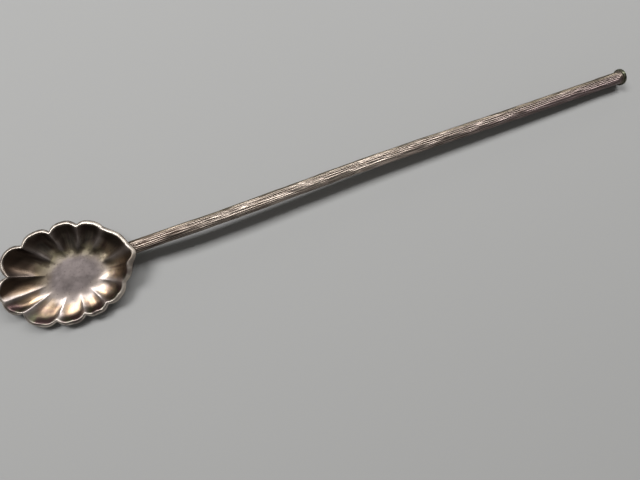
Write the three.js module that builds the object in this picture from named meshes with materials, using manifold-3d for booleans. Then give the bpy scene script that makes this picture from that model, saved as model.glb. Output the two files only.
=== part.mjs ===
// A silver spoon straw: a fluted bowl on a long hollow stem that is drunk through.
// Millimetres, +Z up, +X from the bowl towards the mouth, +Y to the left when looking that way.
// It lies as it does on a table: the flat under the bowl and the mouth collar touch z = 0.

import * as THREE from 'three';
import { mergeVertices } from 'three/addons/utils/BufferGeometryUtils.js';
import Module from 'manifold-3d';

const wasm = await Module();
wasm.setup();

// Bowl
const bowlLength = 36.8; // cleft at the heel to about the notch at the tip
const bowlWidth = 24; // across the notches of the rim, without the lobes
const bowlTurn = THREE.MathUtils.degToRad(4.3); // the bowl is set on a little askew
const bowlAside = 0.6; // its cleft stands this far to the left
const sheet = 0.9; // thickness of the bowl's sheet
const rimEdge = 1.4; // thickness of its hammered edge
const rimSquareness = 0.7; // power of the edge's section: 1 is round, less is squarer
const edgeTaper = 0.3; // share of the wall over which the sheet thickens to its edge
const floorLength = 15; // smooth oval in the middle
const floorWidth = 10.2;
const tipHeight = 5; // crest of the rim above the table, at the tip and at the heel
const heelHeight = 7.9;
const rimRise = 1.75; // power of the rim's rise towards the heel
const rightSink = 2.6; // how much lower the rim hangs on the right-hand side
const sinkOnset = -0.6; // it starts to hang at this share across half the width, left of the middle
const sinkFade = 0.78; // and fades out between these shares of the way from the tip to the heel
const sinkEnd = 0.98;
const wallRoundness = THREE.MathUtils.degToRad(70); // steepness that a round wall would reach
const wallStraightness = 0.62; // 0 is that round wall, 1 an evenly sloping one
const slopePower = 1.25; // power of the even slope's rise, which eases it out of the floor
const heelReach = 1.3; // lobes over which the wall turns into the even slope of the heel
const fluteDepth = 0.5; // share of its rise that the middle of a flute lacks near the floor

// Each lobe of the rim starts at a notch: its place along the length and across half the width,
// then how far the lobe bulges past the line to the next notch, and the dip in its middle, in mm.
// They run anticlockwise from the heel, and no two are quite alike.
const lobes = [
  { along: 0.000, across: 0.000, bulge: 0.2, dip: 0.0 },
  { along: 0.151, across: 0.635, bulge: 1.5, dip: 0.1 },
  { along: 0.317, across: 0.929, bulge: 2.0, dip: 0.1 },
  { along: 0.516, across: 1.031, bulge: 2.2, dip: 0.1 },
  { along: 0.733, across: 0.992, bulge: 3.7, dip: 0.1 },
  { along: 0.908, across: 0.486, bulge: 2.0, dip: 0.1 },
  { along: 1.013, across: 0.022, bulge: 1.5, dip: 0.0 },
  { along: 0.919, across: -0.368, bulge: 2.8, dip: 0.3 },
  { along: 0.735, across: -0.822, bulge: 2.05, dip: 0.2 },
  { along: 0.531, across: -0.960, bulge: 1.6, dip: 0.2 },
  { along: 0.356, across: -0.956, bulge: 1.75, dip: 0.1 },
  { along: 0.178, across: -0.683, bulge: 1.8, dip: 0.7 },
];
const dipSpread = 0.17; // half length of a dip, as a share of its lobe

// Straw
const strawRadius = 1.87; // outside, at the bowl
const mouthRadius = 2.05; // outside, at the mouth
const strawWall = 0.45;
const strawRun = 169; // cleft to the far face of the mouth collar
const strawTuck = 4; // how far the straw runs on under the heel, to its open inlet
const strawDive = 0.6; // how steeply it dives there, as a share of the heel's own slope
const strawCrest = 5.95; // height of its axis where the stem levels out

// Stations of its axis between the heel and the mouth: how far out from the cleft, how far to the
// left, and the height. The stem is not quite straight.
const inletAside = 0.5;
const cleftAside = 0.25;
const strawCourse = [
  { out: 6.2, aside: 0.05, height: 5.47 },
  { out: 12.5, aside: -0.1, height: 5.81 },
  { out: 25, aside: -0.25, height: strawCrest },
  { out: 76, aside: 0.25, height: 4.84 },
  { out: 126, aside: -0.25, height: 3.72 },
];
const levelOut = 25; // where the even droop to the mouth begins
const mouthAside = -0.5;

// Mouth collar
const collarRadius = 2.75;
const collarLength = 1.1;
const collarRound = 0.35; // round of its outer edges

// Solder
const seamGap = 0.3; // room between a piece and the one that it is soldered to
const seamReach = 0.8; // size of a seam's cross-section
const seamInset = 0.4; // how far the seams at the heel start from the straw's inlet
const seamShow = 0.2; // how far they show past the cleft
const seamHollow = 0.7; // hollow of the seam behind the collar, as a share of its size

// Fineness
const stepsPerLobe = 8;
const wallSteps = 9;
const rimSteps = 4;
const strawSides = 20;
const strawSteps = 44;
const strawGrading = 1.6; // steps are short where the straw bends at the bowl, long on the stem
const collarSides = 32;
const roundSteps = 3;
const seamSteps = 12;
const nudge = 0.01; // share of the way out over which the wall's direction is measured
const stretch = 0.25; // lobes over which the rim's direction is measured

const silverBowl = { color: 0x9a8a7c, roughness: 0.3, metalness: 1 };
const silverStraw = { color: 0x8c7f76, roughness: 0.42, metalness: 1 };
const silverCollar = { color: 0x77736a, roughness: 0.35, metalness: 1 };
const silverSolder = { color: 0x6f665e, roughness: 0.5, metalness: 1 };

// Closed meshes from rings of points

// Joins rings of equal count into triangles that face away from the sweep's axis when the rings
// run anticlockwise about it. The first and last ring are closed by a fan, or joined to each other.
function closedFromRings(rings, joinEnds) {
  const count = rings[0].length;
  const positions = rings.flat().flatMap((point) => point.toArray());
  const triangles = [];
  const quad = (ringA, ringB) => {
    for (let k = 0; k < count; k += 1) {
      const next = (k + 1) % count;
      const [a, b] = [ringA * count + k, ringA * count + next];
      const [c, d] = [ringB * count + next, ringB * count + k];
      triangles.push(a, b, c, a, c, d);
    }
  };
  for (let ring = 0; ring < rings.length - 1; ring += 1) {
    quad(ring, ring + 1);
  }
  if (joinEnds) {
    quad(rings.length - 1, 0);
  } else {
    closeEnd(rings[0], 0, false, positions, triangles);
    closeEnd(rings.at(-1), (rings.length - 1) * count, true, positions, triangles);
  }
  const geometry = new THREE.BufferGeometry();
  geometry.setAttribute('position', new THREE.Float32BufferAttribute(positions, 3));
  geometry.setIndex(triangles);
  return geometry;
}

function closeEnd(ring, start, last, positions, triangles) {
  const centre = new THREE.Vector3();
  ring.forEach((point) => centre.add(point));
  centre.divideScalar(ring.length);
  const hub = positions.length / 3;
  positions.push(...centre.toArray());
  for (let k = 0; k < ring.length; k += 1) {
    const [here, next] = [start + k, start + (k + 1) % ring.length];
    triangles.push(...(last ? [hub, here, next] : [hub, next, here]));
  }
}

function solidOf(geometry) {
  const bare = new THREE.BufferGeometry();
  bare.setAttribute('position', geometry.getAttribute('position').clone());
  bare.setIndex(geometry.getIndex());
  const merged = mergeVertices(bare, 1e-4);
  const mesh = new wasm.Mesh({
    numProp: 3,
    vertProperties: new Float32Array(merged.getAttribute('position').array),
    triVerts: new Uint32Array(merged.getIndex().array),
  });
  return new wasm.Manifold(mesh);
}

function geometryOf(solid) {
  const mesh = solid.getMesh();
  const geometry = new THREE.BufferGeometry();
  geometry.setAttribute('position', new THREE.BufferAttribute(mesh.vertProperties, 3));
  geometry.setIndex(new THREE.BufferAttribute(mesh.triVerts, 1));
  return geometry;
}

// Bowl surface

const bowlMiddle = new THREE.Vector2(-bowlLength / 2, 0);
const notches = lobes.map((lobe) => new THREE.Vector2(-lobe.along * bowlLength, lobe.across * bowlWidth / 2));
const notchAngles = notches.map((notch) => {
  const offset = notch.clone().sub(bowlMiddle);
  const angle = Math.atan2(offset.y / bowlWidth, offset.x / bowlLength);
  return THREE.MathUtils.euclideanModulo(angle, 2 * Math.PI);
});

// A place around the rim is counted in lobes: 3.5 is the middle of the fourth.
function lobeAt(place) {
  const whole = Math.floor(place + 1e-9);
  const index = THREE.MathUtils.euclideanModulo(whole, lobes.length);
  return { index, next: (index + 1) % lobes.length, share: place - whole };
}

function floorPoint(place) {
  const { index, next, share } = lobeAt(place);
  const end = next === 0 ? 2 * Math.PI : notchAngles[next];
  const angle = THREE.MathUtils.lerp(notchAngles[index], end, share);
  return new THREE.Vector2(
    bowlMiddle.x + Math.cos(angle) * floorLength / 2,
    bowlMiddle.y + Math.sin(angle) * floorWidth / 2,
  );
}

// The edge of a lobe is a round arc over the line between its notches, less its dip.
// Returned are the point on that line and the arc's step away from it.
function rimPoint(place) {
  const { index, next, share } = lobeAt(place);
  const { bulge, dip } = lobes[index];
  const line = notches[next].clone().sub(notches[index]);
  const half = line.length() / 2;
  const radius = (half * half + bulge * bulge) / (2 * bulge);
  const turn = 2 * Math.atan(bulge / half) * (2 * share - 1);
  const sideways = radius * Math.sin(turn);
  const hollow = dip * Math.exp(-(((share - 0.5) / dipSpread) ** 2));
  const out = radius * Math.cos(turn) - (radius - bulge) - hollow;
  const along = line.clone().normalize();
  const outward = new THREE.Vector2(along.y, -along.x);
  const chord = notches[index].clone().addScaledVector(along, half + sideways);
  return { chord, step: outward.multiplyScalar(out) };
}

function crestHeight(rim) {
  const fromTip = THREE.MathUtils.clamp(1 + rim.x / bowlLength, 0, 1);
  const across = THREE.MathUtils.smoothstep(-rim.y / (bowlWidth / 2), sinkOnset, 1);
  const along = 1 - THREE.MathUtils.smoothstep(fromTip, sinkFade, sinkEnd);
  const even = tipHeight + (heelHeight - tipHeight) * fromTip ** rimRise;
  return even - rightSink * across * along;
}

// The rise of the wall, from 0 at the floor to 1 at the rim, mixes a round bowl with an even slope.
function wallRise(place, out) {
  const nearHeel = Math.min(place, lobes.length - place);
  const heel = 1 - THREE.MathUtils.smoothstep(nearHeel, 0, heelReach);
  const even = THREE.MathUtils.lerp(wallStraightness, 1, heel);
  const reach = out * Math.sin(wallRoundness);
  const round = (1 - Math.sqrt(1 - reach * reach)) / (1 - Math.cos(wallRoundness));
  const { share } = lobeAt(place);
  const flute = 1 - fluteDepth * 4 * share * (1 - share) * (1 - out);
  return flute * (even * out ** slopePower + (1 - even) * round);
}

// Middle of the sheet at a place around the rim and a share of the way out from floor to rim
function sheetMiddle(place, out) {
  const around = (place + lobes.length) % lobes.length;
  const floor = floorPoint(around);
  const { chord, step } = rimPoint(around);
  const plan = floor.clone().lerp(chord, out).addScaledVector(step, out);
  const low = sheet / 2;
  const high = crestHeight(chord.clone().add(step)) - rimEdge / 2;
  const height = low + (high - low) * wallRise(around, out);
  plan.rotateAround(new THREE.Vector2(), bowlTurn);
  return new THREE.Vector3(plan.x, plan.y + bowlAside, height);
}

// The way out through the sheet, downwards and outwards. It is measured over a stretch of the
// rim, so that it turns smoothly through a notch.
function throughSheet(place, out) {
  const around = sheetMiddle(place + stretch, out).sub(sheetMiddle(place - stretch, out));
  const [inner, outer] = [Math.max(out - nudge, 0), Math.min(out + nudge, 1)];
  const outward = sheetMiddle(place, outer).sub(sheetMiddle(place, inner));
  return around.cross(outward).normalize();
}

function sheetThickness(out) {
  return THREE.MathUtils.lerp(sheet, rimEdge, THREE.MathUtils.smoothstep(out, 1 - edgeTaper, 1));
}

const places = Array.from({ length: lobes.length * stepsPerLobe }, (_, k) => k / stepsPerLobe);

// Shares of the way out, closer together where the wall steepens towards the rim
const wallShares = Array.from({ length: wallSteps + 1 }, (_, k) => {
  return Math.sin(wallRoundness * k / wallSteps) / Math.sin(wallRoundness);
});

// One side of the sheet: -1 is its inside, 1 its outside, and extra stands off from it.
function wallRing(out, side, extra = 0) {
  return places.map((place) => {
    const away = side * sheetThickness(out) / 2 + extra;
    const through = out === 0 ? new THREE.Vector3(0, 0, -1) : throughSheet(place, out);
    return sheetMiddle(place, out).addScaledVector(through, away);
  });
}

// The rim goes over its crest from the outside of the sheet to the inside.
function rimRing(turn) {
  const across = Math.sign(Math.cos(turn)) * Math.abs(Math.cos(turn)) ** rimSquareness;
  const proud = Math.sin(turn) ** rimSquareness;
  return places.map((place) => {
    const through = throughSheet(place, 1);
    const up = sheetMiddle(place, 1).sub(sheetMiddle(place, 1 - nudge));
    up.addScaledVector(through, -up.dot(through)).normalize();
    const point = sheetMiddle(place, 1).addScaledVector(through, across * rimEdge / 2);
    return point.addScaledVector(up, proud * rimEdge / 2);
  });
}

function makeBowl() {
  const outside = wallShares.map((out) => wallRing(out, 1));
  const crest = Array.from({ length: rimSteps - 1 }, (_, k) => rimRing(Math.PI * (k + 1) / rimSteps));
  const inside = wallShares.map((out) => wallRing(out, -1)).reverse();
  return closedFromRings([...outside, ...crest, ...inside], false);
}

// Everything above the bowl's underside, which is moved down by a distance
function aboveBowl(distance) {
  const under = wallShares.map((out) => wallRing(out, 1, distance));
  const lid = under.at(-1).map((point) => new THREE.Vector3(point.x, point.y, 2 * heelHeight));
  return solidOf(closedFromRings([...under, lid], false));
}

const clearOfBowl = aboveBowl(seamGap);

// Straw

const collarDroop = (strawCrest - collarRadius) / (strawRun - levelOut);
const mouthHeight = collarRadius * Math.cos(Math.atan(collarDroop));
const heelSlope = (heelHeight - sheet) / ((bowlLength - floorLength) / 2);
const cleftHeight = heelHeight - (sheet + seamGap) * Math.hypot(1, heelSlope) - strawRadius;
const inletHeight = cleftHeight - strawTuck * heelSlope * strawDive;

const strawPath = new THREE.CatmullRomCurve3([
  new THREE.Vector3(-strawTuck, inletAside, inletHeight),
  new THREE.Vector3(0, cleftAside, cleftHeight),
  ...strawCourse.map(({ out, aside, height }) => new THREE.Vector3(out, aside, height)),
  new THREE.Vector3(strawRun, mouthAside, mouthHeight),
], false, 'centripetal');

// A ring around the straw's axis at a share of its length, square to it
function strawRing(share, radius) {
  const centre = strawPath.getPointAt(share);
  const ahead = strawPath.getTangentAt(share);
  const side = new THREE.Vector3(0, 0, 1).cross(ahead).normalize();
  const up = ahead.clone().cross(side);
  return Array.from({ length: strawSides }, (_, k) => {
    const turn = 2 * Math.PI * (k + 0.5) / strawSides;
    return centre.clone()
      .addScaledVector(side, radius * Math.cos(turn))
      .addScaledVector(up, radius * Math.sin(turn));
  });
}

const pathLength = strawPath.getLength();
const strawEnd = 1 - (collarLength + seamGap) / pathLength;
const strawShares = Array.from({ length: strawSteps + 1 }, (_, k) => {
  return strawEnd * (k / strawSteps) ** strawGrading;
});

function outerRadius(share) {
  return THREE.MathUtils.lerp(strawRadius, mouthRadius, share);
}

function makeStraw() {
  const outside = strawShares.map((share) => strawRing(share, outerRadius(share)));
  const bore = strawShares.map((share) => strawRing(share, outerRadius(share) - strawWall));
  const tube = solidOf(closedFromRings([...outside, ...bore.reverse()], true));
  return geometryOf(tube.subtract(clearOfBowl));
}

// Mouth collar, turned about the straw's end

const mouthFrame = new THREE.Group();
mouthFrame.position.copy(strawPath.getPointAt(1));
mouthFrame.quaternion.setFromUnitVectors(new THREE.Vector3(0, 1, 0), strawPath.getTangentAt(1));

function arc(centreX, centreY, radius, from, to) {
  return Array.from({ length: roundSteps + 1 }, (_, k) => {
    const turn = THREE.MathUtils.lerp(from, to, k / roundSteps);
    return new THREE.Vector2(centreX + radius * Math.cos(turn), centreY + radius * Math.sin(turn));
  });
}

// Profiles are given as radius and height along the straw, with the collar's far face at 0.
function makeCollar() {
  const bore = mouthRadius - strawWall;
  const round = collarRadius - collarRound;
  const profile = [
    new THREE.Vector2(bore, -collarLength),
    ...arc(round, -collarLength + collarRound, collarRound, -Math.PI / 2, 0),
    ...arc(round, -collarRound, collarRound, 0, Math.PI / 2),
    new THREE.Vector2(bore, 0),
    new THREE.Vector2(bore, -collarLength),
  ];
  return new THREE.LatheGeometry(profile, collarSides);
}

// A hollow-faced ring of solder in the corner behind the collar
function makeCollarSeam() {
  const inner = mouthRadius + seamGap;
  const back = -collarLength - seamGap;
  const size = collarRadius - inner;
  const profile = [
    new THREE.Vector2(inner, back - size),
    ...arc(inner + size, back - size, size * seamHollow, Math.PI, Math.PI / 2),
    new THREE.Vector2(inner + size, back),
    new THREE.Vector2(inner, back),
    new THREE.Vector2(inner, back - size),
  ];
  return new THREE.LatheGeometry(profile, collarSides);
}

// Solder seams between the straw and the heel, one on each side

function strawCore(extra, from, to) {
  const shares = Array.from({ length: seamSteps + 1 }, (_, k) => {
    return THREE.MathUtils.lerp(from, to, k / seamSteps);
  });
  return solidOf(closedFromRings(shares.map((share) => strawRing(share, outerRadius(share) + extra)), false));
}

function makeHeelSeam(side) {
  const end = (strawTuck + seamShow) / pathLength;
  const around = strawCore(seamReach, seamInset / pathLength, end);
  const room = strawCore(seamGap, 0, 2 * end);
  const half = new THREE.BoxGeometry(4 * strawTuck, 4 * strawRadius, 4 * heelHeight);
  half.translate(0, cleftAside + side * 2 * strawRadius, 0);
  const underHeel = aboveBowl(seamGap + seamReach).subtract(clearOfBowl);
  return geometryOf(around.intersect(underHeel).subtract(room).intersect(solidOf(half)));
}

function piece(name, geometry, material) {
  geometry.computeVertexNormals();
  const mesh = new THREE.Mesh(geometry, new THREE.MeshStandardMaterial(material));
  mesh.name = name;
  return mesh;
}

mouthFrame.add(
  piece('mouth_collar', makeCollar(), silverCollar),
  piece('collar_solder', makeCollarSeam(), silverSolder),
);

const laid = new THREE.Group();
laid.add(
  piece('bowl', makeBowl(), silverBowl),
  piece('straw_tube', makeStraw(), silverStraw),
  piece('heel_solder_left', makeHeelSeam(1), silverSolder),
  piece('heel_solder_right', makeHeelSeam(-1), silverSolder),
  mouthFrame,
);

// The origin is under the middle of the whole, at the height of the table.
laid.updateMatrixWorld(true);
const box = new THREE.Box3().setFromObject(laid, true);
laid.position.set(-(box.min.x + box.max.x) / 2, -(box.min.y + box.max.y) / 2, -box.min.z);

const spoonStraw = new THREE.Group();
spoonStraw.add(laid);

export default spoonStraw;
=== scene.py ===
import math

import bpy
import numpy as np
from mathutils import Matrix, Vector


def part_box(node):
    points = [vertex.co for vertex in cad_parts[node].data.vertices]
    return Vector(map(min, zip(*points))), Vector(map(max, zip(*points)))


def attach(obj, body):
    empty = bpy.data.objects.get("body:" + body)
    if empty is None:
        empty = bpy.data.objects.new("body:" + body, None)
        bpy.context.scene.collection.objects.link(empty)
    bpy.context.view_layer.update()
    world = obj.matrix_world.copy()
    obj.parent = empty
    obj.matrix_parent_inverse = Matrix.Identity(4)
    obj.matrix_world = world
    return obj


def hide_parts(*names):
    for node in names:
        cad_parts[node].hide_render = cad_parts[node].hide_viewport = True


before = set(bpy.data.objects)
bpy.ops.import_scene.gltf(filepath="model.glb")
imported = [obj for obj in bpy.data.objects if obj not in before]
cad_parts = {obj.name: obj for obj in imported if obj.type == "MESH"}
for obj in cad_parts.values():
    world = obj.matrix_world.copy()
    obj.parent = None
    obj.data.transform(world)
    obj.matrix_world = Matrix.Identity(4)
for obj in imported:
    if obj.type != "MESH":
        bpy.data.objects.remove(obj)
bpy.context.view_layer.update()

MM = 0.001

# Sizes in millimetres. They are the solids' own, but the flutes are deeper, the heel's even slope
# is narrower and the first lobe is rounder. The cleft of the bowl's heel is at x = 0 while the
# pieces are worked out, and they are moved to their place in the row frame at the end.

bowl_length = 36.8
bowl_width = 24.0
bowl_turn = math.radians(4.3)
bowl_aside = 0.6
sheet = 0.9
rim_edge = 1.4
rim_squareness = 0.7
edge_taper = 0.3
floor_length = 15.0
floor_width = 10.2
tip_height = 5.0
heel_height = 7.9
rim_rise = 1.75
right_sink = 2.6
sink_onset = -0.6
sink_fade = 0.78
sink_end = 0.98
wall_roundness = math.radians(70)
wall_straightness = 0.62
slope_power = 1.25
heel_reach = 0.9
flute_depth = 0.85

# Finer forms of the bowl, which only the visual model has
foot_softness = 0.2  # how far up the wall its foot is eased, as a share of the way out
ridge_round = 0.07  # lobes to each side over which a ridge is rounded
ridge_samples = np.linspace(-0.86, 0.86, 7)  # shares of that reach at which it is averaged
cleft_depth = 0.95  # how far the rim is drawn in at the heel
cleft_spread = (0.3, 0.1)  # lobes over which it is, to the left and to the right
hammer_wave = 3.6  # distance from one of the hammer's dents to the next
hammer_depth = 0.035

# Lobes of the rim, anticlockwise from the heel: place of the notch where each starts, along the
# length and across half the width, then its bulge, the dip in its middle and the swell of the
# rim's inner edge there in mm.
lobes = np.array([
    (0.000, 0.000, 0.5, 0.0, 0.0),
    (0.151, 0.635, 1.5, 0.1, 0.1),
    (0.317, 0.929, 2.0, 0.1, 0.1),
    (0.516, 1.031, 2.2, 0.1, 0.15),
    (0.733, 0.992, 3.7, 0.1, 0.1),
    (0.908, 0.486, 2.0, 0.1, 0.15),
    (1.013, 0.022, 1.5, 0.0, 0.2),
    (0.919, -0.368, 2.8, 0.3, 0.25),
    (0.735, -0.822, 2.05, 0.2, 0.4),
    (0.531, -0.960, 1.6, 0.2, 0.4),
    (0.356, -0.956, 1.75, 0.1, 0.35),
    (0.178, -0.683, 1.8, 0.7, 0.5),
])
lobe_count = len(lobes)
dip_spread = 0.17  # half length of a dip, as a share of its lobe
swell_spread = 0.2
ridge_spread = 0.12

straw_radius = 1.87
mouth_radius = 2.05
straw_wall = 0.45
straw_run = 169.0
straw_tuck = 4.0
straw_dive = 0.6
straw_crest = 5.95
level_out = 25.0
inlet_aside = 0.5
cleft_aside = 0.25
mouth_aside = -0.5
straw_course = [
    (6.2, 0.05, 5.47),
    (12.5, -0.1, 5.81),
    (25.0, -0.25, straw_crest),
    (76.0, 0.25, 4.84),
    (126.0, -0.25, 3.72),
]
mark_depth = 0.085  # how far the long marks on the straw rise and sink

collar_radius = 2.75
collar_length = 1.1
collar_round = 0.35
seam_gap = 0.3

# Fineness of the meshes
columns_per_lobe = 44
wall_rings = 52
edge_rings = 12
floor_rings = 11
nudge = 0.01  # share of the way out over which the wall's direction is measured


# Smooth steps and seeded waves

def smooth_step(value, low, high):
    """0 below low, 1 above high, and 3t^2 - 2t^3 between them."""
    t = np.clip((value - low) / (high - low), 0, 1)
    return t * t * (3 - 2 * t)


def wavy(points, wavelength, seed, count=40):
    """A sum of plane waves in random directions through space, each with a random phase and a
    wavelength of two thirds to one and a half times the given one. It swings about 0 with a
    spread of 1."""
    rng = np.random.default_rng(seed)
    aim = rng.normal(size=(count, 3))
    aim /= np.linalg.norm(aim, axis=1, keepdims=True)
    waves = aim * (2 * math.pi / (wavelength * rng.uniform(0.67, 1.5, (count, 1))))
    phase = rng.uniform(0, 2 * math.pi, count)
    return np.sin(points @ waves.T + phase).sum(-1) * math.sqrt(2 / count)


def unit(vectors):
    """The vectors divided by their lengths."""
    return vectors / np.linalg.norm(vectors, axis=-1, keepdims=True)


# Meshes from grids of points

def grid_piece(name, points, ends, course=None, **marks):
    """A closed piece from a grid of points, rings by columns. The columns always close into rings.
    ends is "joined" where the last ring meets the first, as in a tube with a bore, or "poles"
    where the first and last ring are each closed by a fan about their mean.
    course = (round, along) are UV distances in metres for each column line and ring line.
    marks are named values, one for each point of the grid."""
    rings, columns = points.shape[:2]
    vertices = points.reshape(-1, 3)
    i, j = np.meshgrid(np.arange(rings), np.arange(columns), indexing="ij")
    i, j = (i, j) if ends == "joined" else (i[:-1], j[:-1])
    below, above = i * columns, (i + 1) % rings * columns
    beside = (j + 1) % columns
    quads = np.stack([below + j, below + beside, above + beside, above + j], -1).reshape(-1, 4)
    corners = [quads.ravel()]
    sizes = [np.full(len(quads), 4)]
    if ends == "poles":
        around = np.arange(columns)
        after = (around + 1) % columns
        first, last = len(vertices), len(vertices) + 1
        top = (rings - 1) * columns
        vertices = np.concatenate([vertices, [points[0].mean(0)], [points[-1].mean(0)]])
        fans = [np.stack([np.full(columns, first), after, around], -1),
                np.stack([np.full(columns, last), top + around, top + after], -1)]
        corners += [fan.ravel() for fan in fans]
        sizes += [np.full(columns, 3)] * 2
    corners = np.concatenate(corners)
    sizes = np.concatenate(sizes)

    mesh = bpy.data.meshes.new(name)
    mesh.vertices.add(len(vertices))
    mesh.vertices.foreach_set("co", (vertices * MM).astype(np.float32).ravel())
    mesh.loops.add(len(corners))
    mesh.loops.foreach_set("vertex_index", corners.astype(np.int32))
    mesh.polygons.add(len(sizes))
    starts = np.concatenate([[0], np.cumsum(sizes)[:-1]])
    mesh.polygons.foreach_set("loop_start", starts.astype(np.int32))
    mesh.update(calc_edges=True)
    mesh.polygons.foreach_set("use_smooth", np.ones(len(sizes), bool))
    for mark, values in marks.items():
        layer = mesh.attributes.new(mark, "FLOAT", "POINT")
        flat = values.reshape(-1)
        if ends == "poles":
            flat = np.concatenate([flat, [values[0].mean()], [values[-1].mean()]])
        layer.data.foreach_set("value", flat.astype(np.float32))
    if course is not None:
        around, along = course
        u = np.stack([around[j], around[j + 1], around[j + 1], around[j]], -1)
        v = np.stack([along[i], along[i], along[i + 1], along[i + 1]], -1)
        uv = np.zeros((len(corners), 2))
        uv[:u.size] = np.stack([u.ravel(), v.ravel()], -1)
        layer = mesh.uv_layers.new(name="course")
        layer.data.foreach_set("uv", uv.astype(np.float32).ravel())
    mesh.validate()
    piece = bpy.data.objects.new(name, mesh)
    bpy.context.scene.collection.objects.link(piece)
    return piece


# Bowl

notches = np.stack([-lobes[:, 0] * bowl_length, lobes[:, 1] * bowl_width / 2], -1)
notch_angles = np.arctan2(
    notches[:, 1] / bowl_width, (notches[:, 0] + bowl_length / 2) / bowl_length)
notch_angles = np.append(notch_angles % (2 * math.pi), 2 * math.pi)


def lobe_at(place):
    """Splits a place around the rim, counted in lobes, into the lobe and the share of it. A place
    a hair short of a notch, as rounding leaves it, counts as the notch."""
    whole = np.floor(place + 1e-9).astype(int)
    return whole % lobe_count, place - whole


def floor_point(place):
    """The smooth oval: an ellipse whose angle runs evenly between the angles of the notches."""
    lobe, share = lobe_at(place)
    angle = notch_angles[lobe] * (1 - share) + notch_angles[lobe + 1] * share
    x = -bowl_length / 2 + np.cos(angle) * floor_length / 2
    return np.stack([x, np.sin(angle) * floor_width / 2], -1)


def rim_point(place):
    """Over the line between two notches stands a round arc of the lobe's bulge, less a bell-shaped
    dip in its middle. At the heel the rim is drawn in to a cleft by a bell as well, which is wide
    on the left and narrow on the right. Gives the point on the line and the step to the arc."""
    lobe, share = lobe_at(place)
    start, end = notches[lobe], notches[(lobe + 1) % lobe_count]
    bulge, dip = lobes[lobe, 2], lobes[lobe, 3]
    half = np.linalg.norm(end - start, axis=-1) / 2
    radius = (half**2 + bulge**2) / (2 * bulge)
    turn = 2 * np.arctan(bulge / half) * (2 * share - 1)
    out = radius * np.cos(turn) - (radius - bulge) - dip * np.exp(-((share - 0.5) / dip_spread)**2)
    along = (end - start) / (2 * half[..., None])
    outward = np.stack([along[..., 1], -along[..., 0]], -1)
    chord = start + along * (half + radius * np.sin(turn))[..., None]
    left, right = cleft_spread
    cleft = np.exp(-(place / left)**2) + np.exp(-((lobe_count - place) / right)**2)
    chord[..., 0] -= cleft_depth * np.where(place > 0, cleft, 1)
    return chord, outward * out[..., None]


def wall_rise(place, out):
    """From 0 at the floor to 1 at the rim: a mix of a circle's arc and a power of the way out,
    which is eased in by a hyperbola so that the floor has no crease. The middle of a flute rises
    later than its ridges, and the heel is an even slope."""
    near_heel = np.minimum(place, lobe_count - place)
    heel = 1 - smooth_step(near_heel, 0, heel_reach)
    even = wall_straightness + (1 - wall_straightness) * heel
    reach = out * math.sin(wall_roundness)
    arc = (1 - np.sqrt(1 - reach**2)) / (1 - math.cos(wall_roundness))
    full = math.hypot(1, foot_softness) - foot_softness
    eased = (np.hypot(out, foot_softness) - foot_softness) / full
    share = lobe_at(place)[1]
    flute = 1 - flute_depth * 4 * share * (1 - share) * (1 - out)
    return flute * (even * eased**slope_power + (1 - even) * arc)


def crest_height(rim):
    """The rim's crest climbs towards the heel by a power of the length. To the right it hangs
    lower by a smooth step across the width, which fades out towards the heel."""
    from_tip = np.clip(1 + rim[..., 0] / bowl_length, 0, 1)
    across = smooth_step(-rim[..., 1] / (bowl_width / 2), sink_onset, 1)
    along = 1 - smooth_step(from_tip, sink_fade, sink_end)
    even = tip_height + (heel_height - tip_height) * from_tip**rim_rise
    return even - right_sink * across * along


def creased_sheet(place, out):
    """The middle of the sheet: in plan a straight way from the floor's oval to the rim, in height
    the wall's rise up to the crest."""
    place = np.mod(place, lobe_count)
    floor = floor_point(place)
    chord, step = rim_point(place)
    plan = floor + (chord - floor + step) * out[..., None]
    low, high = sheet / 2, crest_height(chord + step) - rim_edge / 2
    height = low + (high - low) * wall_rise(place, out)
    c, s = math.cos(bowl_turn), math.sin(bowl_turn)
    x = plan[..., 0] * c - plan[..., 1] * s
    y = plan[..., 0] * s + plan[..., 1] * c + bowl_aside
    return np.stack([x, y, height], -1)


def sheet_middle(place, out):
    """The creased sheet averaged over a little way to both sides with weights that fall off as a
    parabola, which rounds the ridges between the flutes."""
    weights = (1 - ridge_samples**2) / (1 - ridge_samples**2).sum()
    return sum(weight * creased_sheet(place + step * ridge_round, out)
               for step, weight in zip(ridge_samples, weights))


def through_sheet(place, out):
    """Down and outwards through the sheet: across the rim's direction, which is measured over half
    a lobe so that it turns smoothly through a notch, and across the way up the wall."""
    quarter = 0.25
    around = sheet_middle(place + quarter, out) - sheet_middle(place - quarter, out)
    above, below = np.minimum(out + nudge, 1), np.maximum(out - nudge, 0)
    up = sheet_middle(place, above) - sheet_middle(place, below)
    return unit(np.cross(around, up))


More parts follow.
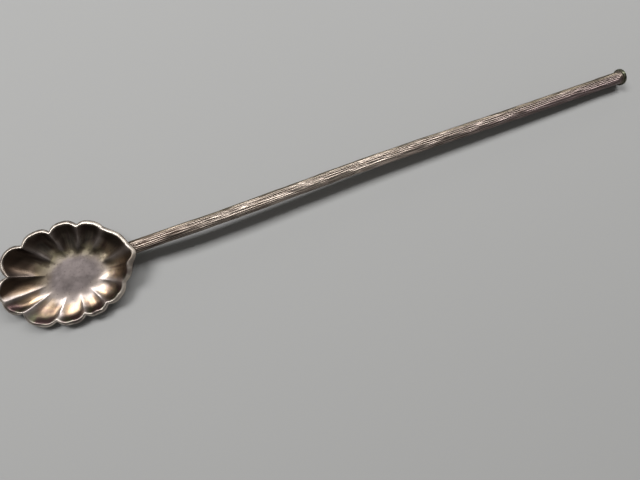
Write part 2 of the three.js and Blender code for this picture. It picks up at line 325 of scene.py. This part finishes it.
def make_bowl():
    """Rings go from the middle of the underside out to the rim, over its edge, which is squarish
    but rounder where it swells, and back inside to the middle. The sheet's two sides stand half
    its thickness off its middle. Off the floor both are moved by a slow wave, as hammering leaves
    them."""
    columns = lobe_count * columns_per_lobe
    place = np.arange(columns) / columns_per_lobe
    lobe, share = lobe_at(place)
    turn = np.linspace(0, math.pi, edge_rings + 2)[1:-1]
    out = np.sin(wall_roundness * np.linspace(0, 1, wall_rings)) / math.sin(wall_roundness)

    place_grid, out_grid = np.meshgrid(place, out)
    middle = sheet_middle(place_grid, out_grid)
    through = through_sheet(place_grid, out_grid)
    through[0] = (0, 0, -1)
    thickness = sheet + (rim_edge - sheet) * smooth_step(out_grid, 1 - edge_taper, 1)
    off_floor = smooth_step(out_grid, 0.1, 0.4)
    dents = wavy(middle, hammer_wave, seed=11) * hammer_depth * off_floor
    middle = middle + through * dents[..., None]
    swell = lobes[lobe, 4] * np.exp(-((share - 0.5) / swell_spread)**2)
    thicker = thickness / 2 + swell * smooth_step(out_grid, 0.8, 1)
    under = middle + through * thickness[..., None] / 2
    inside = middle - through * thicker[..., None]

    edge, away = middle[-1] - through[-1] * swell[:, None] / 2, through[-1]
    up = middle[-1] - sheet_middle(place, np.full(columns, 1 - nudge))
    up = unit(up - away * (up * away).sum(-1, keepdims=True))
    power = rim_squareness + (1 - rim_squareness) * swell / lobes[:, 4].max()
    across = np.sign(np.cos(turn))[:, None] * np.abs(np.cos(turn))[:, None]**power
    proud = np.sin(turn)[:, None]**power
    half = (rim_edge + swell[:, None]) / 2
    rim = edge + away * across[..., None] * half + up * proud[..., None] * rim_edge / 2

    shrink = np.linspace(0, 1, floor_rings + 2)[1:-1, None, None]
    foot = under[0].mean(0) + (under[0] - under[0].mean(0)) * shrink
    floor = inside[0].mean(0) + (inside[0] - inside[0].mean(0)) * shrink[::-1]
    points = np.concatenate([foot, under, rim, inside[::-1], floor])

    # Marks for the finish: how far out a point lies, from -1 in the middle over 0 at the oval's
    # edge to 1 at the rim, on which side of the sheet, how near the crest and how near a ridge
    inwards = shrink[:, 0, 0] - 1
    plain = np.zeros(floor_rings + wall_rings)
    out_of = np.concatenate([inwards, out, np.ones(edge_rings), out[::-1], inwards[::-1]])
    side_of = np.concatenate([plain, (1 - np.cos(turn)) / 2, plain + 1])
    edge_of = np.concatenate([plain, np.sin(turn), plain])
    outs, sides, edges = [
        values[:, None] + np.zeros(columns) for values in (out_of, side_of, edge_of)]
    ridge = np.exp(-(np.minimum(share, 1 - share) / ridge_spread)**2)
    ridges = ridge * smooth_step(outs, 0, 0.4) * sides

    lobe_run = 5.5  # about how far the rim runs from one notch to the next
    around = np.append(place, lobe_count) * lobe_run
    steps = np.linalg.norm(np.diff(points.mean(1), axis=0), axis=-1)
    along = np.concatenate([[0], np.cumsum(steps)])
    return grid_piece(
        "bowl_dressed", points, "poles", course=(around * MM, along * MM),
        ridge=ridges, out=outs, edge=edges, inside=sides)


# Straw

collar_droop = (straw_crest - collar_radius) / (straw_run - level_out)
mouth_height = collar_radius * math.cos(math.atan(collar_droop))
heel_slope = (heel_height - sheet) / ((bowl_length - floor_length) / 2)
cleft_height = heel_height - (sheet + seam_gap) * math.hypot(1, heel_slope) - straw_radius
inlet_height = cleft_height - straw_tuck * heel_slope * straw_dive


def spline(stations, per_span):
    """The centripetal Catmull-Rom curve through the stations: each span is a cubic whose slopes
    weigh the neighbouring chords by the square root of their lengths."""
    before_first = 2 * stations[0] - stations[1]
    after_last = 2 * stations[-1] - stations[-2]
    p = np.concatenate([[before_first], stations, [after_last]])
    chord = np.sqrt(np.linalg.norm(np.diff(p, axis=0), axis=1))[:, None]
    before, here, after = chord[:-2], chord[1:-1], chord[2:]
    p0, p1, p2, p3 = p[:-3], p[1:-2], p[2:-1], p[3:]
    start = ((p1 - p0) / before - (p2 - p0) / (before + here) + (p2 - p1) / here) * here
    end = ((p2 - p1) / here - (p3 - p1) / (here + after) + (p3 - p2) / after) * here
    t = np.linspace(0, 1, per_span, endpoint=False)[None, :, None]
    p1, p2, start, end = p1[:, None], p2[:, None], start[:, None], end[:, None]
    square, cube = 3 * (p2 - p1) - 2 * start - end, 2 * (p1 - p2) + start + end
    line = (p1 + start * t + square * t**2 + cube * t**3).reshape(-1, 3)
    return np.concatenate([line, stations[-1:]])


straw_line = spline(np.array([
    (-straw_tuck, inlet_aside, inlet_height),
    (0, cleft_aside, cleft_height),
    *straw_course,
    (straw_run, mouth_aside, mouth_height),
], float), per_span=400)
line_steps = np.linalg.norm(np.diff(straw_line, axis=0), axis=1)
line_distance = np.concatenate([[0], np.cumsum(line_steps)])
path_length = line_distance[-1]


def straw_frame(distance):
    """Centre, sideways and upwards at a distance along the straw's axis, sideways being level. The
    way ahead is measured over a short piece of the axis about the centre."""
    def at(d):
        return np.stack([np.interp(d, line_distance, straw_line[:, k]) for k in range(3)], -1)
    short = 0.2
    low, high = np.maximum(distance - short, 0), np.minimum(distance + short, path_length)
    ahead = unit(at(high) - at(low))
    side = unit(np.cross(np.array([0.0, 0.0, 1.0]), ahead))
    return at(distance), side, np.cross(ahead, side)


def straw_point(distance, turn, radius):
    """The axis plus the radius, turned from sideways towards upwards."""
    centre, side, up = straw_frame(distance)
    spoke = side * np.cos(turn)[..., None] + up * np.sin(turn)[..., None]
    return centre + radius[..., None] * spoke


def under_heel(x, y):
    """Height of the bowl's underside near the cleft: a polynomial of the fourth degree in x and y,
    fitted by least squares to points of that side."""
    lobes_beside, lowest, beside = 0.9, 0.35, 3.5
    place, out = np.meshgrid(
        np.linspace(-lobes_beside, lobes_beside, 61), np.linspace(lowest, 1, 41))
    place = np.mod(place, lobe_count)
    half = sheet / 2 + (rim_edge - sheet) / 2 * smooth_step(out, 1 - edge_taper, 1)
    under = sheet_middle(place, out) + through_sheet(place, out) * half[..., None]
    under = under.reshape(-1, 3)
    near = (np.abs(under[:, 1] - bowl_aside) < beside) & (under[:, 0] > -2 * straw_tuck)
    under = under[near]

    def powers(px, py):
        return np.stack([px**a * py**b for a in range(5) for b in range(5 - a)], -1)
    fit = np.linalg.lstsq(powers(under[:, 0], under[:, 1]), under[:, 2], rcond=None)[0]
    return powers(x, y) @ fit


def cut_at_heel(turn, radius):
    """How far along each line of the straw it comes free of the bowl's underside and the solder's
    gap, in steps of 0.05 mm. A line that is free all the way starts at the inlet."""
    distance = np.linspace(0, 9, 181)
    past_cleft = 0.6
    d, t = np.meshgrid(distance, turn, indexing="ij")
    p = straw_point(d, t, np.full(d.shape, radius))
    room = under_heel(p[..., 0], p[..., 1]) - p[..., 2] - seam_gap * math.hypot(1, heel_slope)
    blocked = (room < 0) & (p[..., 0] < past_cleft)
    return np.where(blocked, d, 0).max(0)


def draw_marks(turn, distance):
    """Long grooves and ridges like those of bark: a sum of cosines round the straw, each with its
    own count of waves and its own slow sway along it, so that lines wander, fork and fade."""
    fewest, most, cosines = 15, 28, 16
    slow, slow_lengths, quick, quick_lengths = 0.16, (9, 22), 0.04, (2.5, 5)
    rng = np.random.default_rng(5)
    counts = rng.integers(fewest, most + 1, cosines)
    marks = np.zeros(turn.shape)
    for count in counts:
        phase = rng.uniform(0, 2 * math.pi, 3)
        sway = slow * np.sin(distance / rng.uniform(*slow_lengths) + phase[0])
        sway += quick * np.sin(distance / rng.uniform(*quick_lengths) + phase[1])
        marks += np.cos(count * (turn + sway) + phase[2])
    return marks * math.sqrt(2 / len(counts))


def make_straw():
    """Rings of the outside from the heel to the collar and of the bore on the way back. The outside
    carries the draw marks, which are shallower at the collar, and slow waves that a hand-drawn tube
    has. It is sunk a little, which keeps the marks close to the plain tube's size."""
    columns, rings, bore_rings, grading = 168, 500, 14, 1.1
    shallowest, fade_run, sunk = 0.25, 2.5, 0.03
    turn = -math.pi / 2 + 2 * math.pi * np.arange(columns) / columns
    end = path_length - collar_length
    grade = np.linspace(0, 1, rings)**grading
    start = cut_at_heel(turn, straw_radius)
    distance = start[None] + (end - start)[None] * grade[:, None]
    turns = turn[None] + 0 * distance
    radius = straw_radius + (mouth_radius - straw_radius) * (distance / path_length)
    marks = draw_marks(turns, distance)
    fade = smooth_step(path_length - distance, collar_length, collar_length + fade_run)
    plain = straw_point(distance, turns, radius)
    uneven = 0.022 * wavy(plain, 12, seed=21) + 0.01 * wavy(plain, 4, seed=22)
    relief = mark_depth * np.tanh(marks) * (shallowest + (1 - shallowest) * fade)
    outside = straw_point(distance, turns, radius + (uneven - sunk) * fade + relief)

    bore_start = cut_at_heel(turn, straw_radius - straw_wall)
    back = np.linspace(1, 0, bore_rings)
    bore_distance = bore_start[None] + (end - bore_start)[None] * back[:, None]
    bore_share = bore_distance / path_length
    bore_radius = straw_radius + (mouth_radius - straw_radius) * bore_share - straw_wall
    bore = straw_point(bore_distance, turns[:bore_rings], bore_radius)
    points = np.concatenate([outside, bore])

    # Marks for the finish: how high a point of the relief stands, whether it is in the bore, and
    # how far down and how far to the left it lies
    bare = np.zeros((bore_rings, columns))
    low, left = (1 - np.sin(turns)) / 2, (1 + np.cos(turns)) / 2
    around = np.linspace(0, 2 * math.pi * straw_radius, columns + 1)
    along = np.concatenate([end * grade, end * back, [0]])
    return grid_piece(
        "straw_dressed", points, "joined", course=(around * MM, along * MM),
        raised=np.concatenate([marks, bare]), bore=np.concatenate([marks * 0, bare + 1]),
        low=np.concatenate([low, bare]), left=np.concatenate([left, bare]))


# Collar and solder

def revolved(name, profile, columns=96):
    """A profile of radius and height along the straw, the collar's far face being 0, carried round
    the straw's axis at its end."""
    centre, side, up = straw_frame(np.array(path_length))
    ahead = np.cross(side, up)
    turn = 2 * math.pi * np.arange(columns) / columns
    spoke = side * np.cos(turn)[:, None] + up * np.sin(turn)[:, None]
    points = centre + profile[:, None, :1] * spoke[None] + profile[:, None, 1:] * ahead
    return grid_piece(name, points, "joined")


def arc(x, y, radius, start, end, steps):
    """Points of a circle about x and y, from one angle to another in even steps."""
    turn = np.linspace(start, end, steps)
    return np.stack([x + radius * np.cos(turn), y + radius * np.sin(turn)], -1)


def make_collar():
    """A ring with a flat face at each end, rounded outer edges and a softly rounded bore edge."""
    lip, face_rings = 0.15, 6
    bore = mouth_radius - straw_wall
    edge = collar_radius - collar_round
    outwards = np.linspace(bore + lip, edge, face_rings + 2)[1:-1]
    back, front = np.full(face_rings, -collar_length), np.zeros(face_rings)
    profile = np.concatenate([
        arc(bore + lip, -collar_length + lip, lip, -math.pi, -math.pi / 2, 5),
        np.stack([outwards, back], -1),
        arc(edge, -collar_length + collar_round, collar_round, -math.pi / 2, 0, 12),
        arc(edge, -collar_round, collar_round, 0, math.pi / 2, 12),
        np.stack([outwards[::-1], front], -1),
        arc(bore + lip, -lip, lip, math.pi / 2, math.pi, 5),
    ])
    return revolved("collar_dressed", profile)


def make_collar_seam():
    """A hollow fillet in the corner between the straw and the collar's back face."""
    size, sunk = 0.5, 0.06
    inner, back = mouth_radius - sunk, -collar_length + sunk / 2
    profile = np.concatenate([
        [[inner, back - size - 0.05]],
        arc(inner + sunk + size, back - size, size, math.pi, math.pi / 2, 10),
        [[inner, back]],
    ])
    return revolved("collar_solder_dressed", profile)


def make_heel_seam(side, name):
    """A bead of solder in the corner between the straw's flank and the bowl's underside: rings
    about a line along the straw, whose size swells and ends to a point as a power of a sine does,
    with lumps from two quicker sines. The left bead ends sooner, under the rim that is drawn in
    there. What would reach through the bowl is pressed down to just inside its sheet."""
    steps, columns = 60, 28
    first, run = 0.5, straw_tuck - 0.1 - (cleft_depth if side > 0 else 0)
    off_axis, off_top = straw_radius + 0.2, math.radians(52)
    least, most, inside_sheet = 0.06, 0.52, 0.12
    share = np.linspace(0, 1, steps)
    distance = first + share * run
    turn = np.full(steps, math.pi / 2 - side * off_top)
    centre = straw_point(distance, turn, np.full(steps, off_axis))
    lumps = 1 + 0.12 * np.sin(share * 17 + side) + 0.08 * np.sin(share * 41)
    size = (least + most * np.sin(math.pi * share)**0.6) * lumps
    around = 2 * math.pi * np.arange(columns) / columns
    _, sideways, up = straw_frame(distance)
    across = sideways[:, None] * np.cos(around)[None, :, None]
    rise = up[:, None] * np.sin(around)[None, :, None]
    points = centre[:, None] + size[:, None, None] * (across + rise)
    ceiling = under_heel(points[..., 0], points[..., 1]) + inside_sheet
    points[..., 2] = np.minimum(points[..., 2], ceiling)
    return grid_piece(name, points, "poles")


# Materials

def linear(code):
    """The linear colour of an sRGB hex value."""
    channels = [int(code[k:k + 2], 16) / 255 for k in (1, 3, 5)]
    return [c / 12.92 if c <= 0.04045 else ((c + 0.055) / 1.055)**2.4 for c in channels] + [1.0]


def add(tree, kind, inputs=None, result=0, **settings):
    """Adds a node and gives one of its outputs. settings are its own properties, and inputs its
    sockets' values, hex colours or links from other nodes' outputs."""
    made = tree.nodes.new("ShaderNode" + kind)
    for name, value in settings.items():
        setattr(made, name, value)
    for socket, value in (inputs or {}).items():
        if isinstance(value, bpy.types.NodeSocket):
            tree.links.new(value, made.inputs[socket])
        else:
            plain = linear(value) if isinstance(value, str) else value
            made.inputs[socket].default_value = plain
    return made.outputs[result] if made.outputs else None


def metal(name):
    """A new material with a metallic shader; a metal keeps the default IOR."""
    material = bpy.data.materials.new(name)
    material.use_nodes = True
    tree = material.node_tree
    shader = tree.nodes["Principled BSDF"]
    shader.inputs["Metallic"].default_value = 1.0
    return material, tree, shader


def tarnish(tree, colour, where, low, high, most, tint):
    """Lays a tint over a colour. The tint is tarnish in some places, and in others painted shade
    and painted highlights: nothing of it where a value is at low or short of it, most of it where
    it is at high or past it, and a smooth step between them."""
    amount = add(tree, "MapRange", {
        "Value": where, "From Min": low, "From Max": high, "To Max": most,
    }, interpolation_type="SMOOTHSTEP")
    return add(tree, "Mix", {"Factor": amount, "A": colour, "B": tint}, "Result", data_type="RGBA")


def drawn_out(tree, share, scale, detail):
    """Noise on the piece's own course, drawn out lengthwise: its scale along the course is only a
    share of its scale across."""
    course = add(tree, "UVMap", uv_map="course")
    aim = add(tree, "Mapping", {"Vector": course, "Scale": (1.0, share, 1.0)})
    return add(tree, "TexNoise", {"Vector": aim, "Scale": scale, "Detail": detail})


def worn_raised_silver():
    """Sterling silver raised with a hammer and worn by use: satin, not a mirror. The rim and the
    ridges are rubbed to a soft beige grey, with a painted highlight on the ridges as well. The
    flutes keep gold, plum and olive tarnish. Painted shade darkens the left side, the walls under
    the rim and the rim's outer face, and the floor is an even mauve grey with fine dark specks."""
    material, tree, shader = metal("worn raised silver")
    place = add(tree, "TexCoord", result="Object")
    x, y = [add(tree, "SeparateXYZ", {"Vector": place}, axis) for axis in "XY"]
    ridge, out, edge, inside = [
        add(tree, "Attribute", result="Fac", attribute_name=name)
        for name in ("ridge", "out", "edge", "inside")]
    # Clouds of tarnish about 6 mm across, a second kind of 3 mm, and grain of 0.5 mm
    clouds, drifts, grain = [
        add(tree, "TexNoise", {"Vector": place, "Scale": scale, "Detail": 2.0})
        for scale in (160.0, 330.0, 2000.0)]
    # Rubbing leaves streaks that run up the flutes, about 0.5 mm wide and 5 mm long, and old
    # tarnish stands in drifts about 1.5 mm wide
    streaks = drawn_out(tree, 0.1, 1700.0, 2.0)
    stains = drawn_out(tree, 0.3, 560.0, 3.0)

    # The clouds shift the borders between left and right, and the drifts those round the floor
    leftwards = add(tree, "Math", {0: clouds, 1: 14 * MM, 2: y}, operation="MULTIPLY_ADD")
    spread = add(tree, "Math", {0: drifts, 1: -0.5, 2: out}, operation="MULTIPLY_ADD")
    steps = [
        (leftwards, 6 * MM, 0.0, 0.0, 0.85),  # the right side
        (spread, 0.04, -0.48, 0.0, 1.0),  # the middle of the floor
        (x, -88 * MM, -94 * MM, 0.0, 0.75),  # the tip
        (x, -78 * MM, -69 * MM, 0.0, 1.0),  # the heel
        (leftwards, 8 * MM, 4 * MM, 0.0, 0.3),  # right of the heel's middle
        (drifts, 0.38, 0.56, 0.45, 1.0),  # how bright the rim is rubbed
        (drifts, 0.3, 0.7, 0.34, 0.41),  # roughness
    ]
    rightwards, centre, tip, heel, scoured, bright, rough = [
        add(tree, "MapRange", {
            "Value": value, "From Min": low, "From Max": high, "To Min": start, "To Max": end,
        }, interpolation_type="SMOOTHSTEP")
        for value, low, high, start, end in steps]

    # Gold tarnish on the right, and on the left a darker olive brown, which is an olive tint and
    # painted shade on the walls turned away from the window; plum drifts in both
    colour = tarnish(tree, "#b3997c", leftwards, 5 * MM, 14 * MM, 1.0, "#7b746a")
    colour = tarnish(tree, colour, drifts, 0.5, 0.66, 0.55, "#6f5a5c")
    colour = tarnish(tree, colour, streaks, 0.45, 0.75, 0.3, "#c6b69f")
    colour = tarnish(tree, colour, stains, 0.48, 0.7, 0.75, "#59453c")
    # Painted shade darkens the walls just under the rim, nearly black on the right, with purple and
    # green tints
    colour = tarnish(tree, colour, out, 0.4, 0.92, 0.72, "#4a3f39")
    blackest = tarnish(tree, "#49363a", drifts, 0.42, 0.58, 1.0, "#414333")
    colour = tarnish(tree, colour, out, 0.6, 0.9, rightwards, blackest)
    # The ridges are lighter: partly rubbed wear, partly a painted highlight along them
    rubbed_with_sheen = add(tree, "Math", {0: ridge, 1: 0.85}, operation="MULTIPLY")
    colour = add(tree, "Mix", {"Factor": rubbed_with_sheen, "A": colour, "B": "#beb3ae"}, "Result",
                 data_type="RGBA")
    # The foot of the walls is rubbed to bare silver, on the left in patches, and the floor is
    # darker again
    patches = tarnish(tree, "#9d9379", drifts, 0.54, 0.42, 0.75, "#544a3e")
    bare = tarnish(tree, "#9e948f", leftwards, 3 * MM, 9 * MM, 1.0, patches)
    colour = tarnish(tree, colour, spread, 0.26, -0.04, 0.9, bare)
    colour = add(tree, "Mix", {"Factor": centre, "A": colour, "B": "#7c7371"}, "Result",
                 data_type="RGBA")
    # Brown tarnish runs down to the foot in the flutes at the tip, left of the middle
    colour = tarnish(tree, colour, y, -1.5 * MM, 0.5 * MM, tip, "#49392e")
    colour = tarnish(tree, colour, grain, 0.6, 0.72, 0.4, "#4a4340")
    shine = add(tree, "Math", {0: edge, 1: bright}, operation="MULTIPLY")
    colour = add(tree, "Mix", {"Factor": shine, "A": colour, "B": "#d3c9be"}, "Result",
                 data_type="RGBA")
    # Outside it is browner and patchy. Painted shade makes the rim's outer face darkest, and at the
    # heel a painted highlight keeps more of the rim's top in the lighter inside colour
    painted_sheen_mix = add(tree, "Math", {0: heel, 1: 0.22, 2: inside}, operation="MULTIPLY_ADD")
    outer = tarnish(tree, "#92867c", clouds, 0.36, 0.64, 1.0, "#62554c")
    outer = tarnish(tree, outer, drifts, 0.48, 0.66, 0.6, "#4c3f37")
    outer = tarnish(tree, outer, edge, 0.0, 0.4, 1.0, "#4d4038")
    colour = tarnish(tree, colour, painted_sheen_mix, 0.5, 0.2, 0.95, outer)
    tree.links.new(colour, shader.inputs["Base Color"])

    # The floor is a little smoother, and the rim right of the heel is scoured dull
    rough = add(tree, "Math", {0: centre, 1: -0.06, 2: rough}, operation="MULTIPLY_ADD")
    scoured = add(tree, "Math", {0: heel, 1: scoured}, operation="MULTIPLY")
    rough = add(tree, "Math", {0: scoured, 1: edge, 2: rough}, operation="MULTIPLY_ADD")
    tree.links.new(rough, shader.inputs["Roughness"])
    # Shallow hammer dents about 2 mm across under a satin grain
    dents = add(tree, "TexNoise", {"Vector": place, "Scale": 480.0, "Detail": 1.0})
    dented = add(tree, "Bump", {"Height": dents, "Strength": 0.25, "Distance": 0.08 * MM})
    grained = add(tree, "Bump", {
        "Height": grain, "Strength": 0.2, "Distance": 0.02 * MM, "Normal": dented})
    tree.links.new(grained, shader.inputs["Normal"])
    return material


def drawn_silver():
    """Silver drawn through a plate into tube and worn: dark brown tarnish lies in its long grooves,
    the ridges are rubbed to a warm pale grey that turns to purple near the mouth, and a painted
    highlight runs along its middle. Its left side is olive and darkened as painted shade. What lies
    against the table is darker."""
    material, tree, shader = metal("drawn silver")
    place = add(tree, "TexCoord", result="Object")
    along = add(tree, "SeparateXYZ", {"Vector": place}, "X")
    raised, bore, low, left = [
        add(tree, "Attribute", result="Fac", attribute_name=name)
        for name in ("raised", "bore", "low", "left")]
    # Hair lines 0.2 mm wide and 6 mm long between the deeper marks
    hairs = drawn_out(tree, 0.035, 3600.0, 2.0)
    # Patches of tarnish about 5 mm long
    clouds = add(tree, "TexNoise", {"Vector": place, "Scale": 200.0, "Detail": 3.0})

    # A painted highlight makes the straw brightest between its middle and the bowl, and its ends
    # are left darker
    steps = [
        (along, 0.0, 90 * MM, 0.0, 1.0),
        (along, -56 * MM, -28 * MM, -2.45, -1.5),
        (along, 5 * MM, 50 * MM, 0.0, 0.4),
    ]
    mouthwards, painted_sheen_mix, less = [
        add(tree, "MapRange", {
            "Value": value, "From Min": start, "From Max": end, "To Min": first, "To Max": last,
        }, interpolation_type="SMOOTHSTEP")
        for value, start, end, first, last in steps]
    painted_sheen_mix = add(tree, "Math", {0: painted_sheen_mix, 1: less}, operation="SUBTRACT")
    height = add(tree, "Math", {0: raised, 1: painted_sheen_mix}, operation="ADD")
    height = add(tree, "Math", {0: hairs, 1: 4.0, 2: height}, operation="MULTIPLY_ADD")

    rubbed_with_sheen = add(tree, "Mix", {"Factor": mouthwards, "A": "#e3d3c5", "B": "#c3b1ab"}, "Result",
                 data_type="RGBA")
    colour = tarnish(tree, "#35281f", height, -0.9, 0.7, 1.0, rubbed_with_sheen)
    colour = tarnish(tree, colour, clouds, 0.5, 0.72, 0.35, "#6a5a4b")
    # Painted shade: the left side is darker, with an olive tint, and more so towards the mouth
    shade = add(tree, "Math", {0: mouthwards, 1: 0.12, 2: left}, operation="MULTIPLY_ADD")
    colour = tarnish(tree, colour, shade, 0.68, 0.94, 0.75, "#6c6450")
    flank = add(tree, "Mix", {"Factor": mouthwards, "A": colour, "B": "#8f787e"}, "Result",
                data_type="RGBA")
    colour = tarnish(tree, colour, left, 0.46, 0.2, 0.4, flank)
    colour = tarnish(tree, colour, along, -35 * MM, -64 * MM, 0.35, "#6f5e55")
    colour = tarnish(tree, colour, low, 0.12, 0.6, 0.75, "#3b312b")
    colour = add(tree, "Mix", {"Factor": bore, "A": colour, "B": "#2f2823"}, "Result",
                 data_type="RGBA")
    tree.links.new(colour, shader.inputs["Base Color"])
    rough = add(tree, "MapRange", {
        "Value": height, "From Min": -1.0, "From Max": 1.0, "To Min": 0.5, "To Max": 0.29,
    }, interpolation_type="SMOOTHSTEP")
    tree.links.new(rough, shader.inputs["Roughness"])
    lined = add(tree, "Bump", {"Height": hairs, "Strength": 0.7, "Distance": 0.04 * MM})
    tree.links.new(lined, shader.inputs["Normal"])
    return material


def turned_silver():
    """A silver ring turned smooth and left to darken: greenish black tarnish, rubbed a little."""
    material, tree, shader = metal("darkened turned silver")
    place = add(tree, "TexCoord", result="Object")
    # Tarnish in patches about 0.8 mm across
    clouds = add(tree, "TexNoise", {"Vector": place, "Scale": 1200.0, "Detail": 3.0})
    colour = tarnish(tree, "#474a3c", clouds, 0.4, 0.7, 1.0, "#7c7a68")
    tree.links.new(colour, shader.inputs["Base Color"])
    rough = add(tree, "MapRange", {
        "Value": clouds, "From Min": 0.3, "From Max": 0.7, "To Min": 0.25, "To Max": 0.38,
    }, interpolation_type="SMOOTHSTEP")
    tree.links.new(rough, shader.inputs["Roughness"])
    return material


def silver_solder():
    """Hard silver solder that ran and set: duller and darker than the sheet, finely pitted."""
    material, tree, shader = metal("tarnished silver solder")
    place = add(tree, "TexCoord", result="Object")
    # Pits about 0.3 mm across
    pits = add(tree, "TexNoise", {"Vector": place, "Scale": 3000.0, "Detail": 3.0})
    colour = add(tree, "Mix", {"Factor": pits, "A": "#5b5148", "B": "#8b8177"}, "Result",
                 data_type="RGBA")
    tree.links.new(colour, shader.inputs["Base Color"])
    shader.inputs["Roughness"].default_value = 0.45
    pitted = add(tree, "Bump", {"Height": pits, "Strength": 0.5, "Distance": 0.04 * MM})
    tree.links.new(pitted, shader.inputs["Normal"])
    return material


# The pieces in their places

def middle_of(low, high):
    """The point half way between two corners."""
    return (Vector(low) + Vector(high)) / 2


solder = silver_solder()
bowl = make_bowl(), "bowl", "bowl_silver", worn_raised_silver()
straw = make_straw(), "straw_tube", "straw_silver", drawn_silver()
collar = make_collar(), "mouth_collar", "collar_silver", turned_silver()
seams = [
    (make_collar_seam(), "collar_solder", "solder", solder),
    (make_heel_seam(1, "heel_solder_left_dressed"), "heel_solder_left", "solder", solder),
    (make_heel_seam(-1, "heel_solder_right_dressed"), "heel_solder_right", "solder", solder),
]
corners = np.array([corner[:] for corner in collar[0].bound_box])
shift = middle_of(*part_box("mouth_collar")) - middle_of(corners.min(0), corners.max(0))
shift.z = 0
for piece, node, slot, material in [bowl, straw, collar, *seams]:
    piece.data.transform(Matrix.Translation(shift))
    piece.data.materials.append(material)
    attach(piece, "root")
    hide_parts(node)


# Floor, light and camera

def make_floor():
    """A flat square table far larger than the view."""
    half = 1.5
    corners = [(-half, -half, 0), (half, -half, 0), (half, half, 0), (-half, half, 0)]
    mesh = bpy.data.meshes.new("floor")
    mesh.from_pydata(corners, [], [(0, 1, 2, 3)])
    floor = bpy.data.objects.new("floor", mesh)
    bpy.context.scene.collection.objects.link(floor)
    material = bpy.data.materials.new("pale table")
    material.use_nodes = True
    shader = material.node_tree.nodes["Principled BSDF"]
    shader.inputs["Base Color"].default_value = linear("#acacab")
    shader.inputs["Roughness"].default_value = 0.7
    mesh.materials.append(material)


make_floor()

# The camera stands above the straw near the bowl, a little to its right, and looks down at 79
# degrees. It is turned clockwise, so that the straw rises towards the right of the picture.
camera_place = Vector((21.85, -28.61, 170.46)) * MM + Vector((shift.x, shift.y, 0))
ahead = Vector((0.1735, 0.0708, -0.9823)).normalized()
picture_top = Vector((0.3467, 0.9292, 0.1282))
right = ahead.cross(picture_top).normalized()
upward = right.cross(ahead)
camera = bpy.data.cameras.new("camera")
camera.sensor_fit = "HORIZONTAL"
camera.sensor_width = 36
camera.lens = 31.74
camera.clip_start = 0.01
viewer = bpy.data.objects.new("camera", camera)
turned = Matrix((right, upward, -ahead)).transposed().to_4x4()
viewer.matrix_world = Matrix.Translation(camera_place) @ turned
bpy.context.scene.collection.objects.link(viewer)
bpy.context.scene.camera = viewer


def softbox(name, direction, distance, size, power):
    """A white lamp, long along X, that faces the object from a direction."""
    lamp = bpy.data.lights.new(name, "AREA")
    lamp.shape = "RECTANGLE"
    lamp.size, lamp.size_y = size
    lamp.energy = power
    away = Vector(direction).normalized()
    long_side = (Vector((1, 0, 0)) - away * away.x).normalized()
    turned = Matrix((long_side, away.cross(long_side), away)).transposed().to_4x4()
    holder = bpy.data.objects.new(name, lamp)
    holder.matrix_world = Matrix.Translation(away * distance) @ turned
    bpy.context.scene.collection.objects.link(holder)


softbox("window", (-0.42, 0.6, 1.0), 1.2, (0.6, 0.36), 9.5)
softbox("far window", (0.65, 0.6, 1.0), 1.3, (1.2, 0.36), 9.0)

# A ceiling that glows softly overhead, a dim band below it, and pale walls that are darker on the
# side away from the window and near the table
world = bpy.data.worlds.new("studio")
bpy.context.scene.world = world
world.use_nodes = True
sky = world.node_tree
sky.nodes.clear()
direction = add(sky, "TexCoord", result="Generated")
x, y, z = [add(sky, "SeparateXYZ", {"Vector": direction}, axis) for axis in "XYZ"]
across = add(sky, "Math", {0: x, 1: 0.45, 2: y}, operation="MULTIPLY_ADD")
steps = [
    (across, -0.9, 0.9, 0.15, 0.6),
    (z, 0.0, 0.5, 0.0, 1.0),
    (z, 0.62, 0.3, 0.0, 1.0),
    (z, 0.6, 0.97, 0.03, 0.16),
]
walls, above_table, wall_share, ceiling = [
    add(sky, "MapRange", {
        "Value": value, "From Min": low, "From Max": high, "To Min": start, "To Max": end,
    }, interpolation_type="SMOOTHSTEP")
    for value, low, high, start, end in steps]
walls = add(sky, "Mix", {"Factor": above_table, "A": 0.19, "B": walls}, "Result")
glow = add(sky, "Mix", {"Factor": wall_share, "A": ceiling, "B": walls}, "Result")
room = add(sky, "Background", {"Color": "#f4f2ee", "Strength": glow})
add(sky, "OutputWorld", {"Surface": room})

bpy.context.scene.view_settings.view_transform = "Standard"
